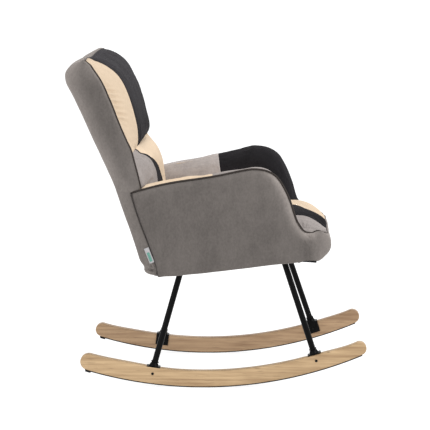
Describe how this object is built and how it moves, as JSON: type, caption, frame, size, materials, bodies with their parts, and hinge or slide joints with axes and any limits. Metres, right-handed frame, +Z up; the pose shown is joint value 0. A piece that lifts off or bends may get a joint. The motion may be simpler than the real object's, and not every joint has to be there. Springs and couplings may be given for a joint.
{
  "type": "rocking chair",
  "caption": "Padded wing-back armchair in velvet patchwork on splayed round steel legs, fixed to two curved wooden rockers with rubber strips beneath.",
  "frame": {"origin": "on the floor, under the middle of the chair's bounding box", "axes": "+Z up, the chair faces -Y, +X is the sitter's left"},
  "size_m": [0.65, 0.8762, 0.9837],
  "materials": {
    "grey_velvet": "matte",
    "cream_velvet": "matte",
    "charcoal_velvet": "matte",
    "light_grey_velvet": "matte",
    "piping": "matte",
    "dust_cloth": "matte",
    "label": "matte",
    "webbing": "matte",
    "rocker_wood": "satin",
    "frame_wood": "matte",
    "black_steel": "satin",
    "fasteners": "satin",
    "black_rubber": "matte"
  },
  "bodies": {
    "root": {"anti_slip_strip_left": "black_rubber", "anti_slip_strip_right": "black_rubber", "arm_pad_left": "charcoal_velvet", "arm_pad_right": "cream_velvet", "arm_panel_left": "frame_wood", "arm_panel_right": "frame_wood", "arm_piping_left": "piping", "arm_piping_right": "piping", "back_cover": "grey_velvet", "back_cushion": "charcoal_velvet", "back_piping": "piping", "back_post_left": "frame_wood", "back_post_right": "frame_wood", "back_rail_lumbar": "frame_wood", "back_rail_top": "frame_wood", "cross_rail_front": "frame_wood", "cross_rail_rear": "frame_wood", "dust_cover": "dust_cloth", "foot_bracket_front_left": "black_steel", "foot_bracket_front_right": "black_steel", "foot_bracket_rear_left": "black_steel", "foot_bracket_rear_right": "black_steel", "front_border": "grey_velvet", "leg_front_left": "black_steel", "leg_front_right": "black_steel", "leg_plate_front_left": "black_steel", "leg_plate_front_right": "black_steel", "leg_plate_rear_left": "black_steel", "leg_plate_rear_right": "black_steel", "leg_rear_left": "black_steel", "leg_rear_right": "black_steel", "lumbar_cushion": "cream_velvet", "plate_screw_front_left_a": "fasteners", "plate_screw_front_left_b": "fasteners", "plate_screw_front_right_a": "fasteners", "plate_screw_front_right_b": "fasteners", "plate_screw_rear_left_a": "fasteners", "plate_screw_rear_left_b": "fasteners", "plate_screw_rear_right_a": "fasteners", "plate_screw_rear_right_b": "fasteners", "rocker_bolt_front_left": "fasteners", "rocker_bolt_front_right": "fasteners", "rocker_bolt_rear_left": "fasteners", "rocker_bolt_rear_right": "fasteners", "rocker_left": "rocker_wood", "rocker_right": "rocker_wood", "seat_cushion": "cream_velvet", "seat_rail_front": "frame_wood", "seat_rail_left": "frame_wood", "seat_rail_rear": "frame_wood", "seat_rail_right": "frame_wood", "side_cover_left": "grey_velvet", "side_cover_right": "grey_velvet", "side_label": "label", "stop_pad_left": "black_rubber", "stop_pad_right": "black_rubber", "webbing_strap_1": "webbing", "webbing_strap_2": "webbing", "wing_left": "grey_velvet", "wing_right": "grey_velvet"}
  },
  "joints": []
}
